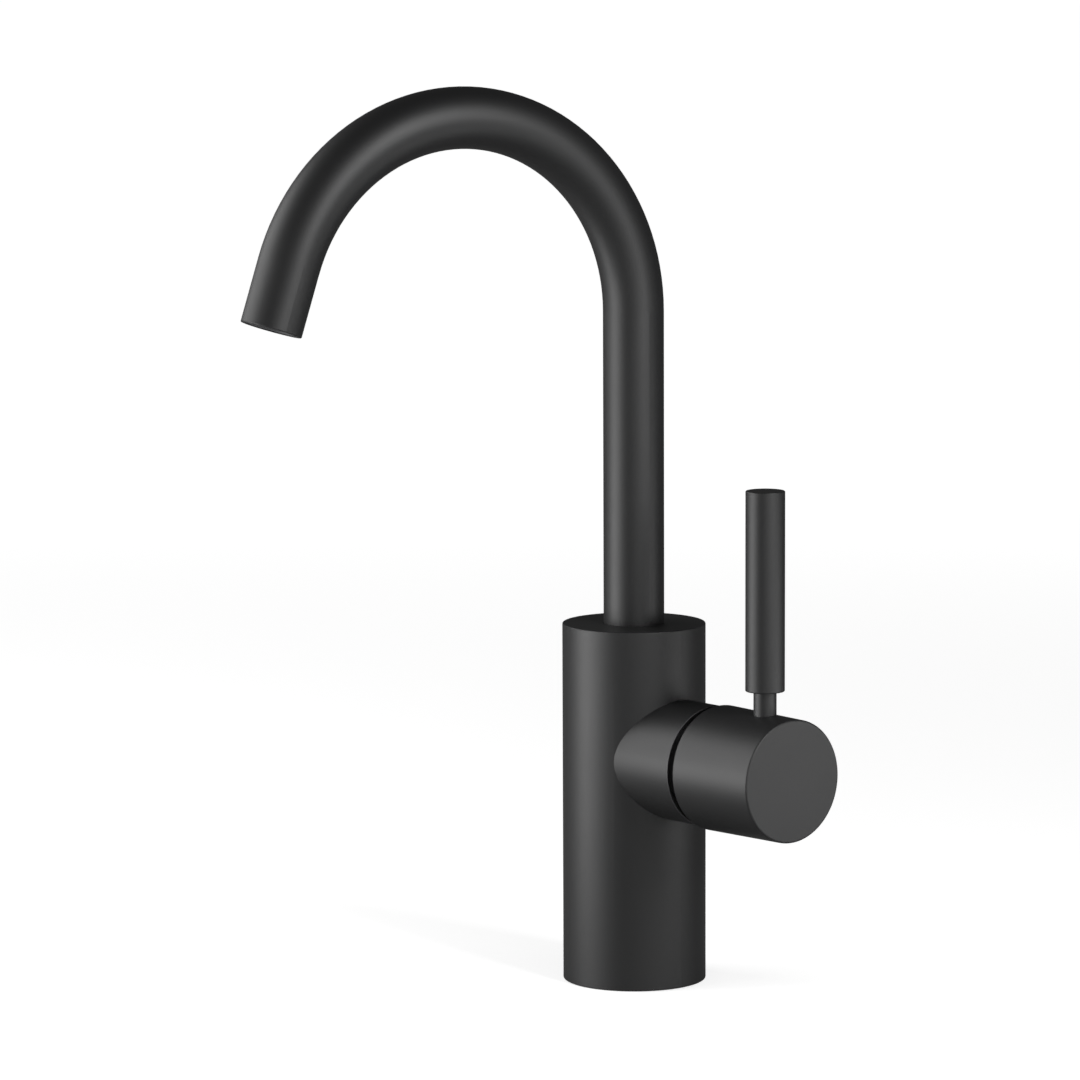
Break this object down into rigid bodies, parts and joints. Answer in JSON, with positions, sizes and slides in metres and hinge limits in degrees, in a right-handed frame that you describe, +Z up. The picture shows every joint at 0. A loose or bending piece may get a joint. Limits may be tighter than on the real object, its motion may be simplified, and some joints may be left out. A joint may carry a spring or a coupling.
{
  "type": "single-lever basin mixer",
  "caption": "Matt black single-lever basin mixer with an upright round body, a swivelling gooseneck spout and a side lever hub that turns and tilts a ceramic cartridge.",
  "frame": {"origin": "centre of the foot of the body, on the deck it stands on", "axes": "+Z up along the body, +X along the lever hub and the cartridge, -Y the way the spout points when it stands straight ahead"},
  "size_m": [0.1208, 0.1809, 0.3268],
  "materials": {
    "matt_black": "satin matt black coating on brass",
    "bare_brass": "turned",
    "stainless": "turned",
    "rubber_seal": "matt",
    "white_bearing_plastic": "matt",
    "cartridge_plastic": "moulded",
    "aerator_plastic": "moulded",
    "ceramic": "lapped ceramic"
  },
  "bodies": {
    "base": {"body": "matt_black", "base_seal": "rubber_seal", "spout_grub_screw": "stainless", "glide_ring": "white_bearing_plastic", "thrust_washer": "white_bearing_plastic", "cartridge_housing": "cartridge_plastic", "cartridge_base": "cartridge_plastic", "inlet_seals": "rubber_seal", "disc_seals": "rubber_seal", "fixed_disc": "ceramic", "cartridge_nut": "bare_brass"},
    "spout": {"spout_tube": "matt_black", "spout_spigot": "bare_brass", "spout_o_rings": "rubber_seal", "aerator_housing": "aerator_plastic", "aerator_insert": "white_bearing_plastic", "aerator_grid": "aerator_plastic", "aerator_seal": "rubber_seal"},
    "guide": {"spindle_guide": "white_bearing_plastic", "pivot_pin": "stainless"},
    "lever": {"spindle": "stainless", "lever_hub": "matt_black", "hub_set_screw": "stainless", "lever_stem": "matt_black", "lever_grip": "matt_black"},
    "slider": {"moving_disc": "ceramic", "disc_carrier": "cartridge_plastic"}
  },
  "joints": [
    {"name": "spout_swivel", "type": "hinge", "parent": "base", "child": "spout", "pos_m": [0, 0, 0.119], "axis": [0, 0, 1], "range_deg": [-50.4, 69.6]},
    {"name": "lever_turn", "type": "hinge", "parent": "base", "child": "guide", "pos_m": [0.0544, 0, 0.0837], "axis": [1, 0, 0], "range_deg": [-45, 45]},
    {"name": "lever_tilt", "type": "hinge", "parent": "guide", "child": "lever", "pos_m": [0.0544, 0, 0.0837], "axis": [0, 1, 0], "range_deg": [0, 20]},
    {"name": "disc_slide", "type": "slide", "parent": "guide", "child": "slider", "axis": [0, 0, 1], "range_m": [0, 0.0031]}
  ],
  "couplings": [
    {"joint": "disc_slide", "follows": "lever_tilt", "m_per_rad": 0.0088184}
  ]
}
